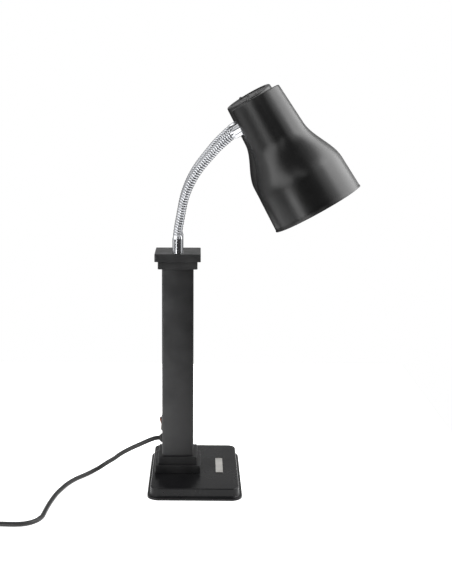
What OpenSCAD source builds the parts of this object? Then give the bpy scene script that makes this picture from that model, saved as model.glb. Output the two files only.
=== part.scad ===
// Freestanding food heat lamp: a weighted base, a square column and two
// bendable necks that each carry a bell-shaped shade with a reflector bulb.
// The origin is the middle of the base's underside, on the table.
// +X is the front, where the heads hang, +Y is the lamp's own left and +Z is up.

/* [Base] */
// Width of the base from back to front
base_w = 147; // [136:1:190]
// Depth of the base from side to side
base_d = 209; // [190:1:260]
// Height of the base's top face above the table
base_h = 17.9; // [17:0.1:26]
// Height of the lip round the base above its underside
lip_h = 4; // [3:0.1:6]
// Distance that the lip stands out from the upper tier
lip_out = 5; // [3.5:0.1:8]
// Corner radius of the lip, seen from above
base_r = 18; // [14:0.5:26]
// Wall thickness of the base pan
pan_wall = 2.4; // [1.5:0.1:3]
// Thickness of the rubber pad under the base
pad_t = 2; // [1.5:0.1:3]
// Thickness of the steel plate that closes the base
bottom_t = 1.5; // [1:0.1:2.5]
// Distance from the middle of the base back to the column's axis
column_back = 27.6; // [15:0.1:32]

/* [Column] */
// Side of the square column
column_w = 50; // [44:0.5:54]
// Visible height of the column between its plinth and its cap
column_h = 303.4; // [200:0.1:420]
// Wall thickness of the column's tube
column_wall = 2; // [1.5:0.1:2.5]
// Outer corner radius of the column's tube
column_r = 3; // [2.5:0.1:4]
// Side of the larger plates, at the very top and on the base
plate_big = 72.8; // [72:0.1:80]
// Side of the smaller plates, next to the column
plate_small = 62.6; // [62:0.1:68]
// Thickness of each of the four plates
plate_t = 12.5; // [12:0.1:16]
// Radius of the rod that ties base, column and cap together
rod_r = 4; // [3:0.1:4.5]

/* [Switch and cord] */
// Height of the rocker switch's middle above the table
switch_z = 89.2; // [86:0.1:140]
// Height of the switch's frame
switch_h = 21.5; // [21.5:0.1:24]
// Width of the switch's frame
switch_w = 15.5; // [15.5:0.1:19]
// Height of the cord bushing's axis above the table
cord_z = 64; // [62:0.1:66]
// Radius of the cord bushing's flange
bushing_r = 7; // [6.6:0.1:7.6]
// Angle that the rocker rests at, from flat
rocker_tilt = 8; // [6:0.5:9]

/* [Necks] */
// Distance of each neck from the cap's middle, to either side
neck_y = 25; // [22:0.1:25]
// Length of neck from one hinge point to the next
span = 26.8; // [24:0.1:32]
// Outer radius of the neck's ribs
neck_r = 7; // [6.9:0.05:8]
// Depth of the grooves between the ribs
groove = 0.65; // [0.3:0.05:0.7]
// Radius of the wire bore through the neck
wire_r = 2.2; // [1.5:0.1:2.4]
// Radius of the ball at each hinge point
ball_r = 5.2; // [5:0.05:5.2]
// Forward bend at each bending point of the right neck, before its share
right_bend = 9.4; // [6:0.1:11]
// Outward lean at each leaning point of the right neck
right_lean = 11.4; // [10:0.1:14]
// Turn of the right head about the end of its neck
right_roll = 16.1; // [10:0.1:24]
// Forward bend at each bending point of the left neck, before its share
left_bend = 9.2; // [6:0.1:11]
// Outward lean at each leaning point of the left neck
left_lean = 11.4; // [10:0.1:14]
// Turn of the left head about the end of its neck
left_roll = 16.8; // [10:0.1:24]
// Height of the chromed ferrule at the foot of each neck
foot_h = 29.1; // [22:0.1:36]
// Radius of the chromed ferrules
ferrule_r = 8.25; // [8.2:0.05:9]
// Length of the ferrule from the last hinge point to the shade's wall
head_ferrule = 16; // [12:0.1:22]

/* [Shades] */
// Length of the shade from its top to its mouth
shade_len = 191; // [188:0.5:215]
// Radius of the shade at its top
shade_top_r = 40.3; // [39:0.1:44]
// Radius of the shade at its waist
shade_waist_r = 44.5; // [44.2:0.1:48]
// Radius of the shade where its flare ends
shade_flare_r = 68.9; // [68.5:0.1:74]
// Radius of the shade at its mouth
shade_mouth_r = 71; // [70.5:0.1:78]
// Distance from the top to the waist, where the flare starts
waist_s = 68; // [58:0.5:70]
// Distance from the top to the end of the flare
flare_s = 140; // [136:0.5:150]
// Wall thickness of the shade
shade_t = 1.3; // [0.8:0.1:1.6]
// Distance from the shade's top to the neck's axis
entry_s = 31; // [28:0.1:34]
// Number of slots in the vent plate
vent_count = 24; // [12:1:30]

/* [Bulbs] */
// Radius of the reflector bulb
bulb_r = 63.5; // [58:0.1:63.5]
// Length of the bulb from its contact to the middle of its face
bulb_len = 165; // [158:0.5:168]
// Thickness of the bulb's glass
glass_t = 1.2; // [0.8:0.1:2]

/* [Hidden] */
$fn = 48;
RIGHT = -1;
LEFT = 1;
// Clearance between parts that slide together, on the radius
slip = 0.05;
// Clearance between flat parts that sit side by side
play = 0.3;

// Heights of the stacked parts
pan_z = 0.6;
cavity_w = base_w - 2 * (lip_out + pan_wall);
cavity_d = base_d - 2 * (lip_out + pan_wall);
cavity_r = base_r - lip_out - pan_wall;
ballast_z = pad_t + bottom_t;
cavity_top = base_h - pan_wall;
plinth_mid = base_h + plate_t;
column_z = base_h + 2 * plate_t;
cap_z = column_z + column_h;
cap_mid = cap_z + plate_t;
cap_top = cap_mid + plate_t;
column_in = column_w - 2 * column_wall;
spigot_h = 5;

// Tie rod and its nut
nut_h = 6.5;
washer_t = 1.6;
washer_r = rod_r + 4.5;
rod_low = ballast_z + 1;
rod_nut_z = rod_low + 1.5;
nut_pocket_top = rod_nut_z + nut_h + washer_t;
rod_high = cap_mid - 3;

// Bottom screws
screw_in = 14;
screw_r = 2;
screw_head_r = 4;

// Cap
pocket_h = plate_t - 3.5;
stub_r = 4;
stub_len = 11;
locknut_h = 4.5;
locknut_r = 6.9;
pocket_r = locknut_r + 0.3;
cap_screw_x = 15;

// Switch: every size behind the frame follows the frame
bezel_t = 2;
switch_body_h = switch_h - 1.8;
switch_body_w = switch_w - 2;
switch_body_l = column_w / 2 - 10;
blade_out = 4.5;
rocker_half = (switch_body_h - 2.6) / 2;
rocker_w = switch_body_w - 2.4;
rocker_end = -bezel_t - 2.6;
rocker_mid = rocker_end + 1.7;
axle_r = 1.2;
rocker_x = 0.8;
terminal_rise = 38;

// Cord bushing
cord_r = 3.5;
bushing_flange = 3.4;
bushing_nose = 5;
bushing_stub_r = 5.2;
bushing_stub = 10;
bushing_nut_h = 4;

// Neck hinges: each one's kind, and its share of the bend or the lean
HINGES = [
    ["bend", 1.10], ["lean", 1.00], ["bend", 1.06], ["bend", 1.02],
    ["bend", 0.98], ["lean", 1.00], ["bend", 0.94], ["bend", 0.90],
];
LAST = len(HINGES) - 1;
ribs = 8;
pitch = span / (ribs + 1);
rim = 1.4;
section_top = ribs * pitch - rim;
stem_r = 3.4;
socket_r = ball_r + 0.1;
pivot_z = cap_top + foot_h + span - section_top;

// Heads
top_slope = (shade_waist_r - shade_top_r) / waist_s;
skirt_slope = (shade_mouth_r - shade_flare_r) / (shade_len - flare_s);
flare_len = flare_s - waist_s;
flare_steps = [for (i = [0 : 12]) waist_s + flare_len * i / 12];
mouth_bead = 0.5;
bead_h = 1.4;
top_fillet = 2.4;
top_lip = 8;
lip_r = shade_top_r - top_lip;
wall_r = shade_r(entry_s + ferrule_r);
strap_screw_r = (lip_r + shade_top_r - top_fillet) / 2;
vent_t = 1.2;
vent_in = shade_t;
disc_r = 11;
disc_slope = 2;
disc_h = 0.9;
slot_in = 17;
slot_out = lip_r - 2.5;
slot_w = 1.9;
screw_edge = 3.2;
strap_t = 1.5;
strap_w = 12;
strap_z = vent_in + vent_t;
holder_z = strap_z + strap_t;
holder_r = 20;
holder_skirt_r = 16.5;
holder_step = 16;
holder_h = 32;
bulb_z = holder_z + 6.5;
bulb_base_r = 13;
bulb_base_h = 26;
bulb_face = bulb_z + bulb_len;
bulb_dome = 12;
bulb_turn = 15;

// Plug
plug_len = 34;
plug_w = 25;
relief_len = 22;
relief_r = 7.5;
blade_len = 17;
blade_gap = 12.7;
pin_root = 6;

// Cord: the free stretch is laid by hand, and the rest lies in a coil.
// The x values are measured from the column's axis.
CORD = [
    [-column_w / 2 - bushing_nose, 0, cord_z], [-37, 0, 63.2], [-47, 0, 59.6], [-60.3, 1, 53.1],
    [-73, 3, 46.6], [-84, 5, 40.4], [-95, 8, 33], [-105, 10, 25],
    [-117, 12, 17], [-129, 10, 9.6], [-141, 3, 5], [-152.8, -10.4, 3.6],
    [-162.5, -23, 3.5], [-170.1, -36.7, 3.5], [-176, -50, 3.5],
    [-180.5, -64.8, 3.5], [-185.4, -82, 3.5], [-188.8, -99.8, 3.5],
    [-192.8, -131.1, 3.5], [-194.9, -160, 3.5], [-196.5, -176, 3.5],
    [-203, -190, 3.5], [-215, -200, 3.6], [-231, -204, 3.9],
    [-255, -204, 4.3], [-280, -204, 4.5], [-306, -204, 4.5],
    [-313, -204, 4.5],
];
coil_x = -320;
coil_start_y = -204;
coil_in = 29;
coil_pitch = 7.5;
coil_turns = 5;
coil_out = coil_in + coil_pitch * coil_turns / 2;
coil_low = 4.5;
coil_step = 7.5;
coil_rings = 24;
coil_tail = 5 * cord_r;
tie_w = 12;
tie_t = 0.8;
plug_z = coil_low + coil_step;

// Shared forms

// Rounded rectangle, centred
module round_rect(w, d, r) {
    square([w - 2 * r, d], center = true);
    square([w, d - 2 * r], center = true);
    for (x = [-1, 1], y = [-1, 1])
        translate([x * (w / 2 - r), y * (d / 2 - r)]) circle(r);
}

// Solid with a rounded rectangle for a plan, whose edge follows an outline
// of [distance in from the edge, height] points, from the bottom up
module moulded(w, d, r, edge) {
    bottom = edge[0][1];
    top = edge[len(edge) - 1][1];
    rotate([90, 0, 90]) linear_extrude(w - 2 * r, center = true)
        both_edges(d / 2, edge);
    rotate([90, 0, 0]) linear_extrude(d - 2 * r, center = true)
        both_edges(w / 2, edge);
    for (x = [-1, 1], y = [-1, 1])
        translate([x * (w / 2 - r), y * (d / 2 - r), 0]) rotate_extrude()
            polygon(concat([[0, bottom]], [for (p = edge) [r - p[0], p[1]]], [[0, top]]));
}

module both_edges(half, edge) {
    last = len(edge) - 1;
    polygon(concat(
        [for (p = edge) [half - p[0], p[1]]],
        [for (i = [last : -1 : 0]) [edge[i][0] - half, edge[i][1]]]
    ));
}

// Points on a quarter round, from angle a to angle b
function arc(x, y, r, a, b, n = 5) =
    [for (i = [0 : n]) [x + r * cos(a + (b - a) * i / n), y + r * sin(a + (b - a) * i / n)]];

module ring(r, hole, h) {
    difference() {
        cylinder(r = r, h = h);
        translate([0, 0, -1]) cylinder(r = hole, h = h + 2);
    }
}

module hex_nut(r, hole, h) {
    difference() {
        cylinder(r = r, h = h, $fn = 6);
        translate([0, 0, -1]) cylinder(r = hole, h = h + 2);
    }
}

// Pan-head screw with its head up, its seat at z = 0 and its shank below
module screw(r, length, head_r, head_h) {
    difference() {
        union() {
            translate([0, 0, -length]) cylinder(r = r, h = length);
            cylinder(r1 = head_r, r2 = head_r * 0.7, h = head_h);
        }
        translate([0, 0, head_h * 0.45]) for (a = [0, 90])
            rotate([0, 0, a]) translate([-head_r * 0.5, -0.4, 0]) cube([head_r, 0.8, head_h]);
    }
}

// Places a child on the column's axis
module on_column(z = 0) {
    translate([-column_back, 0, z]) children();
}

module at_bottom_screws() {
    for (x = [-1, 1], y = [-1, 1])
        translate([x * (cavity_w / 2 - screw_in), y * (cavity_d / 2 - screw_in), 0]) children();
}

// Base

// Pressed steel pan with a lip, open underneath
module base_pan() {
    fillet = 2.2;
    round = 1.8;
    edge = concat(
        [[0.6, pan_z], [0, pan_z + 0.6], [0, lip_h - 0.8], [0.8, lip_h], [lip_out - fillet, lip_h]],
        [for (p = arc(lip_out - fillet, lip_h + fillet, fillet, -90, 0)) p],
        [for (p = arc(lip_out + round, base_h - round, round, 180, 90)) p]
    );
    color("#1c1c1d") difference() {
        moulded(base_w, base_d, base_r, edge);
        translate([0, 0, pan_z - 1]) linear_extrude(cavity_top - pan_z + 1)
            round_rect(cavity_w, cavity_d, cavity_r);
        on_column() cylinder(r = rod_r + play, h = base_h + 1);
    }
}

// Cast iron weight inside the pan, clamped up by the tie rod's nut
module base_ballast() {
    color("#4a4a4c") difference() {
        translate([0, 0, ballast_z]) linear_extrude(cavity_top - ballast_z)
            round_rect(cavity_w - 2 * play, cavity_d - 2 * play, cavity_r - play);
        on_column(ballast_z - 1) cylinder(r = washer_r + 1.5, h = nut_pocket_top - ballast_z + 1);
        on_column() cylinder(r = rod_r + play, h = base_h);
        at_bottom_screws() translate([0, 0, ballast_z - 1]) cylinder(r = screw_r + slip, h = 8);
    }
}

// Steel plate that closes the pan
module bottom_plate() {
    color("#8d8f91") difference() {
        translate([0, 0, pad_t]) linear_extrude(bottom_t)
            round_rect(cavity_w - 2 * play, cavity_d - 2 * play, cavity_r - play);
        at_bottom_screws() cylinder(r = screw_r + play, h = ballast_z + 1);
    }
}

// Rubber pad that the lamp rests on, with a hole for each screw head
module base_pad() {
    color("#2b2b2b") difference() {
        linear_extrude(pad_t) round_rect(cavity_w - 2 * play, cavity_d - 2 * play, cavity_r - play);
        at_bottom_screws() translate([0, 0, -1]) cylinder(r = screw_head_r + 1, h = pad_t + 2);
    }
}

module bottom_screws() {
    color("#b9bbbd") at_bottom_screws() translate([0, 0, pad_t])
        mirror([0, 0, 1]) screw(screw_r, bottom_t + 5, screw_head_r, pad_t - 0.4);
}

// Column and plates

function plate_edge(z, h) = [[0.5, z], [0, z + 0.5], [0, z + h - 0.9], [0.3, z + h - 0.3], [0.9, z + h]];

// Square plate, with the larger edge round on its visible top
module square_plate(side, z) {
    moulded(side, side, 2.5, plate_edge(z, plate_t));
}

// Locating square that stands inside the column's tube
module spigot(z) {
    translate([0, 0, z]) linear_extrude(spigot_h)
        round_rect(column_in - 2 * play, column_in - 2 * play, 1.5);
}

module plinth_lower() {
    color("#161617") on_column() difference() {
        square_plate(plate_big, base_h);
        cylinder(r = rod_r + play, h = cap_top);
    }
}

module plinth_upper() {
    color("#161617") on_column() difference() {
        union() {
            square_plate(plate_small, plinth_mid);
            spigot(column_z);
        }
        cylinder(r = rod_r + play, h = cap_top);
    }
}

// Square steel tube with openings for the switch and the cord at the back
module column() {
    color("#202021") on_column() difference() {
        translate([0, 0, column_z]) linear_extrude(column_h)
            round_rect(column_w, column_w, column_r);
        translate([0, 0, column_z - 1]) linear_extrude(column_h + 2)
            round_rect(column_in, column_in, max(column_r - column_wall, 0.5));
        translate([-column_w / 2 - 1, -switch_body_w / 2 - slip, switch_z - switch_body_h / 2 - slip])
            cube([column_wall + 2, switch_body_w + 2 * slip, switch_body_h + 2 * slip]);
        translate([-column_w / 2 - 1, 0, cord_z]) rotate([0, 90, 0])
            cylinder(r = bushing_stub_r + slip, h = column_wall + 2);
    }
}

module cap_lower() {
    color("#161617") on_column() difference() {
        union() {
            square_plate(plate_small, cap_z);
            spigot(cap_z - spigot_h);
        }
        translate([0, 0, cap_z - spigot_h - 1]) cylinder(r = rod_r + slip, h = spigot_h + plate_t - 2);
        for (y = [-1, 1]) translate([0, y * 13, cap_z - spigot_h - 1])
            cylinder(r = 4.5, h = spigot_h + plate_t + 2);
        for (x = [-1, 1]) translate([x * cap_screw_x, 0, cap_z - spigot_h - 1])
            cylinder(r = screw_r + slip, h = spigot_h + plate_t + 2);
    }
}

// Top plate: hexagonal pockets that hold the locknuts still, joined by a
// passage for the wires
module cap_upper() {
    color("#161617") on_column() difference() {
        square_plate(plate_big, cap_mid);
        for (y = [-1, 1]) translate([0, y * neck_y, cap_mid - 1]) {
            cylinder(r = pocket_r, h = pocket_h + 1, $fn = 6);
            cylinder(r = stub_r + slip, h = plate_t + 2);
        }
        translate([-5, -neck_y, cap_mid - 1]) cube([10, 2 * neck_y, pocket_h + 1]);
        for (x = [-1, 1]) translate([x * cap_screw_x, 0, cap_mid - 1])
            cylinder(r = screw_r + slip, h = pocket_h + 1);
    }
}

module cap_screws() {
    color("#b9bbbd") on_column() for (x = [-1, 1])
        translate([x * cap_screw_x, 0, cap_z - spigot_h]) mirror([0, 0, 1])
            screw(screw_r, spigot_h + plate_t + pocket_h - 1, screw_head_r, 2.2);
}

module tie_rod() {
    color("#9b9da0") on_column(rod_low) cylinder(r = rod_r, h = rod_high - rod_low);
}

module rod_nut() {
    color("#b9bbbd") on_column(rod_nut_z) {
        hex_nut(rod_r + 3.5, rod_r + slip, nut_h);
        translate([0, 0, nut_h]) ring(washer_r, rod_r + slip, washer_t);
    }
}

// Switch, cord entry and terminals

// Places a child at the middle of the switch, on the column's back face,
// with +X into the column
module at_switch() {
    on_column(switch_z) translate([-column_w / 2, 0, 0]) children();
}

module switch_body() {
    color("#141414") at_switch() difference() {
        union() {
            translate([-bezel_t, 0, 0]) rotate([90, 0, 90]) linear_extrude(bezel_t)
                round_rect(switch_w, switch_h, 1);
            translate([0, -switch_body_w / 2, -switch_body_h / 2])
                cube([switch_body_l, switch_body_w, switch_body_h]);
            for (z = [-5, 5]) translate([switch_body_l - 1, -2.4, z - 0.4])
                cube([blade_out + 1, 4.8, 0.8]);
        }
        translate([-bezel_t - 1, -rocker_w / 2 - play, -rocker_half - 0.6])
            cube([10, rocker_w + 2 * play, 2 * rocker_half + 1.2]);
        translate([rocker_x, 0, 0]) rotate([90, 0, 0])
            cylinder(r = axle_r + slip, h = rocker_w + 2, center = true);
    }
}

// Rocker with two flats that dip to its middle, on a short axle. It rests with
// its upper end out.
module rocker() {
    color("#a8371c") at_switch() translate([rocker_x, 0, 0]) rotate([0, -rocker_tilt, 0])
        rotate([90, 0, 0]) {
            linear_extrude(rocker_w, center = true) polygon([
                [rocker_mid, 0], [rocker_end, rocker_half - 0.6], [rocker_end + 0.5, rocker_half],
                [0, rocker_half - 0.3], [2.6, 3.6], [2.6, -3.6], [0, 0.3 - rocker_half],
                [rocker_end + 0.5, -rocker_half], [rocker_end, 0.6 - rocker_half],
            ]);
            cylinder(r = axle_r, h = rocker_w + 1.6, center = true);
        }
}

// Places a child on the cord's axis at the column's back face, with +Z out
module at_bushing() {
    on_column(cord_z) translate([-column_w / 2, 0, 0]) rotate([0, -90, 0]) children();
}

// Short plastic bushing, with its flange outside and its thread inside. The
// cord's jacket ends at its nose, and the wires go on through its bore.
module cord_bushing() {
    color("#101010") at_bushing() difference() {
        union() {
            translate([0, 0, -bushing_stub]) cylinder(r = bushing_stub_r, h = bushing_stub + 0.1);
            cylinder(r = bushing_r, h = bushing_flange - 1);
            translate([0, 0, bushing_flange - 1]) cylinder(r1 = bushing_r, r2 = bushing_r - 1, h = 1);
            cylinder(r = bushing_r - 1.9, h = bushing_nose);
        }
        translate([0, 0, -bushing_stub - 1])
            cylinder(r = cord_r - 0.4, h = bushing_stub + bushing_nose + 2);
    }
}

module bushing_nut() {
    color("#101010") at_bushing() translate([0, 0, -column_wall - bushing_nut_h])
        hex_nut(bushing_stub_r + 3, bushing_stub_r + slip, bushing_nut_h);
}

// Terminal block on the inside of the column's front wall
module terminal_block() {
    block_l = 30;
    color("#d9d6cc") on_column(switch_z + terminal_rise)
        translate([column_in / 2 - 12, -8, 0]) difference() {
            cube([12, 16, block_l]);
            for (z = [5 : 10 : block_l - 5]) {
                translate([-1, 4, z]) rotate([0, 90, 0]) cylinder(r = 1.8, h = 6);
                translate([-1, 12, z]) rotate([0, 90, 0]) cylinder(r = 1.8, h = 6);
                translate([7.5, -1, z]) rotate([-90, 0, 0]) cylinder(r = 1.5, h = 18);
            }
        }
}

// Necks

function bend(side) = side == RIGHT ? right_bend : left_bend;
function lean(side) = side == RIGHT ? right_lean : left_lean;
function roll(side) = side == RIGHT ? right_roll : left_roll;
function hinge_turn(side, k) = HINGES[k][0] == "bend"
    ? [0, bend(side) * HINGES[k][1], 0]
    : [-side * lean(side) * HINGES[k][1], 0, 0];

// Places a child at hinge point k of a neck, turned as the neck is past it
module past_hinge(side, k) {
    if (k < 0)
        on_column(pivot_z) translate([0, side * neck_y, 0]) children();
    else
        past_hinge(side, k - 1) translate([0, 0, k == 0 ? 0 : span])
            rotate(hinge_turn(side, k)) children();
}

// One round rib's outline, as [radius, height] points
function rib(z) = [
    [neck_r - groove, z], [neck_r, z + pitch * 0.28], [neck_r, z + pitch * 0.62],
];

// Ball on its stem, which stands on a neck part's end face
module ball_end(length) {
    cylinder(r = stem_r, h = length);
    translate([0, 0, length]) sphere(ball_r);
}

// Ribbed length of neck between two hinge points: a socket at its foot takes
// the ball before it, and its own ball stands at its top
module neck_section(side, k) {
    color("#c9ccd0") past_hinge(side, k - 1) difference() {
        union() {
            rotate_extrude() polygon(concat(
                [[0, -rim]],
                [for (i = [0 : ribs - 1]) each rib(i * pitch - rim)],
                [[neck_r - groove, section_top], [0, section_top]]
            ));
            translate([0, 0, section_top]) ball_end(span - section_top);
        }
        sphere(socket_r);
        translate([0, 0, -rim - 1]) cylinder(r = wire_r, h = span + ball_r + rim + 2);
    }
}

// Chromed ferrule on the cap, with a threaded stub below
module neck_foot(side) {
    color("#d4d7da") on_column(cap_top) translate([0, side * neck_y, 0]) difference() {
        union() {
            translate([0, 0, -stub_len]) cylinder(r = stub_r, h = stub_len + 1);
            rotate_extrude() polygon([
                [0, 0], [ferrule_r - 0.5, 0], [ferrule_r, 0.5], [ferrule_r, foot_h - 6],
                [ferrule_r - 0.2, foot_h - 5.4], [neck_r - 0.3, foot_h - 0.4],
                [neck_r - 0.7, foot_h], [0, foot_h],
            ]);
            translate([0, 0, foot_h]) ball_end(pivot_z - cap_top - foot_h);
        }
        translate([0, 0, -stub_len - 1])
            cylinder(r = wire_r, h = stub_len + foot_h + span);
    }
}

module neck_locknuts() {
    color("#b9bbbd") for (side = [RIGHT, LEFT])
        on_column(cap_mid + pocket_h - locknut_h) translate([0, side * neck_y, 0])
            hex_nut(locknut_r, stub_r + slip, locknut_h);
}

// Heads

// Places a child on a head's axis at the shade's top, with +Z towards its
// mouth and +X towards the neck
module at_head(side) {
    past_hinge(side, LAST) rotate([0, 0, side * roll(side)])
        translate([-entry_s, 0, head_ferrule + wall_r]) rotate([0, 90, 0]) children();
}

// Shade's outer radius at a distance s from its top: a straight taper, a flare
// that joins it smoothly, and a straight skirt
function shade_r(s) =
    s < waist_s ? shade_top_r + top_slope * s
    : s > flare_s ? shade_flare_r + skirt_slope * (s - flare_s)
    : flare_r((s - waist_s) / flare_len);
function flare_r(t) =
    (2 * t ^ 3 - 3 * t ^ 2 + 1) * shade_waist_r
    + (t ^ 3 - 2 * t ^ 2 + t) * top_slope * flare_len
    + (3 * t ^ 2 - 2 * t ^ 3) * shade_flare_r
    + (t ^ 3 - t ^ 2) * skirt_slope * flare_len;

// Chromed ferrule at the head: its end is cut to the shade's round wall, and
// its threaded stub goes on through the wall
module head_ferrule(side) {
    cut_low = entry_s - 1.8 * ferrule_r;
    cut_high = entry_s + 1.8 * ferrule_r;
    color("#d4d7da") difference() {
        union() {
            difference() {
                past_hinge(side, LAST) rotate_extrude() polygon([
                    [0, -rim], [neck_r - 0.7, -rim], [neck_r - 0.3, 0.4 - rim],
                    [ferrule_r - 0.2, 3.8], [ferrule_r, 4.4],
                    [ferrule_r, head_ferrule + 1.5], [0, head_ferrule + 1.5],
                ]);
                at_head(side) translate([0, 0, cut_low]) cylinder(
                    r1 = shade_r(cut_low) + slip, r2 = shade_r(cut_high) + slip, h = cut_high - cut_low);
            }
            past_hinge(side, LAST) translate([0, 0, head_ferrule - 3])
                cylinder(r = stub_r, h = shade_t + 12);
        }
        past_hinge(side, LAST) {
            sphere(socket_r);
            translate([0, 0, -rim - 1]) cylinder(r = wire_r, h = head_ferrule + 20);
        }
    }
}

module ferrule_nut(side) {
    color("#b9bbbd") at_head(side) translate([0, 0, entry_s]) rotate([0, 90, 0])
        translate([0, 0, wall_r - shade_t - 6]) hex_nut(locknut_r, stub_r + slip, locknut_h);
}

// Spun aluminium shade
module shade(side) {
    inner = [for (s = concat([shade_t, waist_s / 2], flare_steps, [shade_len])) [shade_r(s) - shade_t, s]];
    outer = [for (s = concat([waist_s / 2], flare_steps, [shade_len - 1.4 * bead_h])) [shade_r(s), s]];
    color("#1a1a1b") at_head(side) difference() {
        rotate_extrude() polygon(concat(
            [[lip_r, 0]],
            [for (p = arc(shade_r(top_fillet) - top_fillet, top_fillet, top_fillet, -90, 0)) p],
            outer,
            [[shade_mouth_r + mouth_bead, shade_len - bead_h], [shade_mouth_r + mouth_bead, shade_len]],
            [for (i = [len(inner) - 1 : -1 : 0]) inner[i]],
            [[lip_r, shade_t]]
        ));
        translate([0, 0, entry_s]) rotate([0, 90, 0]) cylinder(r = stub_r + slip, h = shade_top_r * 2);
        for (y = [-1, 1]) translate([0, y * strap_screw_r, -1]) cylinder(r = screw_r + slip, h = 4);
    }
}

// Vent plate under the shade's top edge, with a raised middle and slots
module vent_plate(side) {
    rim_r = strap_screw_r + screw_edge;
    color("#202021") at_head(side) difference() {
        rotate_extrude() polygon([
            [0, vent_in - disc_h], [disc_r, vent_in - disc_h], [disc_r + disc_slope, vent_in],
            [rim_r, vent_in], [rim_r, vent_in + vent_t], [0, vent_in + vent_t],
        ]);
        for (i = [0 : vent_count - 1]) rotate([0, 0, 360 / vent_count * (i + 0.5)]) {
            translate([slot_in, -slot_w / 2, -1]) cube([slot_out - slot_in, slot_w, 6]);
            for (x = [slot_in, slot_out]) translate([x, 0, -1]) cylinder(r = slot_w / 2, h = 6);
        }
        translate([0, 0, -1]) cylinder(r = screw_r + slip, h = 6);
        for (y = [-1, 1]) translate([0, y * strap_screw_r, -1]) cylinder(r = screw_r + slip, h = 6);
    }
}

// Steel strap across the top that carries the lampholder
module holder_strap(side) {
    color("#9b9da0") at_head(side) difference() {
        translate([0, 0, strap_z]) linear_extrude(strap_t)
            round_rect(strap_w, 2 * (strap_screw_r + 3), strap_w / 4);
        translate([0, 0, strap_z - 1]) cylinder(r = screw_r + slip, h = strap_t + 2);
        for (y = [-1, 1]) translate([0, y * strap_screw_r, strap_z - 1])
            cylinder(r = screw_r + slip, h = strap_t + 2);
    }
}

// Glazed porcelain lampholder
module lampholder(side) {
    color("#ece8dc") at_head(side) translate([0, 0, holder_z]) difference() {
        rotate_extrude() polygon([
            [0, 0], [holder_r - 1, 0], [holder_r, 1], [holder_r, holder_step - 1.5],
            [holder_r - 1.5, holder_step], [holder_skirt_r, holder_step + 2],
            [holder_skirt_r, holder_h - 1], [holder_skirt_r - 1, holder_h], [0, holder_h],
        ]);
        translate([0, 0, bulb_z - holder_z - 1.5]) cylinder(r = bulb_base_r + 0.4, h = holder_h);
        translate([0, 0, -1]) cylinder(r = screw_r + slip, h = holder_h);
    }
}

// Bulb's screw base with its contact
module bulb_base(side) {
    thread = 3;
    turns = 5;
    color("#b8a878") at_head(side) translate([0, 0, bulb_z]) rotate_extrude() polygon(concat(
        [[0, 0], [4.5, 0], [5, 1.5], [9, 2.5], [bulb_base_r - 1.2, 4]],
        [for (i = [0 : turns - 1]) each [
            [bulb_base_r - 1, 4.5 + i * thread], [bulb_base_r, 5.5 + i * thread],
            [bulb_base_r, 6.3 + i * thread],
        ]],
        [[bulb_base_r - 0.6, 5 + turns * thread], [bulb_base_r, bulb_base_h - 2],
         [bulb_base_r, bulb_base_h], [0, bulb_base_h]]
    ));
}

// Reflector bulb's glass: a neck, a cone that widens smoothly, and a domed face
module bulb_glass(side) {
    neck = bulb_base_r + 0.5;
    start = bulb_z + bulb_base_h;
    wide = bulb_face - bulb_dome - bulb_turn;
    bell = [for (i = [0 : 8]) let (t = i / 8)
        [neck + (bulb_r - neck) * (0.30 * t + 1.90 * t ^ 2 - 1.20 * t ^ 3), start + (wide - start) * t]];
    turn = arc(bulb_r - bulb_turn, wide, bulb_turn, 0, 75, 4);
    face_r = turn[len(turn) - 1][0];
    face_z = turn[len(turn) - 1][1];
    face = [for (i = [1 : 4]) let (u = 1 - i / 4) [face_r * u, bulb_face - (bulb_face - face_z) * u ^ 2]];
    outside = concat(bell, turn, face);
    count = len(outside);
    inside = [for (i = [0 : count - 1]) let (p = outside[i])
        [max(p[0] - glass_t * 1.2, 0), min(p[1], p[1] - glass_t * max(0, (p[1] - wide) / (bulb_face - wide)))]];
    color("#e8ded0", 0.6) at_head(side) rotate_extrude() polygon(concat(
        outside, [for (i = [count - 1 : -1 : 0]) inside[i]]
    ));
}

// Two screws through the shade's top into the strap, and the lampholder's bolt
module head_screws(side) {
    color("#b9bbbd") at_head(side) {
        for (y = [-1, 1]) translate([0, y * strap_screw_r, 0]) mirror([0, 0, 1])
            screw(screw_r, strap_z + strap_t, 2.8, 1.6);
        translate([0, 0, vent_in - disc_h]) mirror([0, 0, 1])
            screw(screw_r, holder_z + 4 - vent_in + disc_h, 3.6, 1.9);
    }
}

// Cord

function unit(v) = v / norm(v);

// Smooth curve through the route's points, with n steps between two of them
function smooth(p, n) = let (last = len(p) - 1) concat(
    [for (i = [0 : last - 1], j = [0 : n - 1]) let (
        a = p[max(i - 1, 0)], b = p[i], c = p[i + 1], d = p[min(i + 2, last)], t = j / n
    ) 0.5 * (2 * b + (c - a) * t + (2 * a - 5 * b + 4 * c - d) * t ^ 2
        + (3 * b - a - 3 * c + d) * t ^ 3)],
    [p[last]]
);

// Round tube along points, which never run straight up
module tube(points, r, sides) {
    last = len(points) - 1;
    rings = [for (i = [0 : last]) let (
        t = unit(points[min(i + 1, last)] - points[max(i - 1, 0)]),
        u = unit(cross([0, 0, 1], t)),
        v = cross(t, u)
    ) each [for (k = [0 : sides - 1]) let (a = 360 * (k + 0.5) / sides)
        points[i] + r * (cos(a) * u + sin(a) * v)]];
    polyhedron(rings, concat(
        [[for (k = [sides - 1 : -1 : 0]) k]],
        [for (i = [0 : last - 1], k = [0 : sides - 1]) let (
            a = i * sides + k, b = i * sides + (k + 1) % sides
        ) each [[a, b, b + sides], [a, b + sides, a + sides]]],
        [[for (k = [0 : sides - 1]) last * sides + k]]
    ));
}

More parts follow.
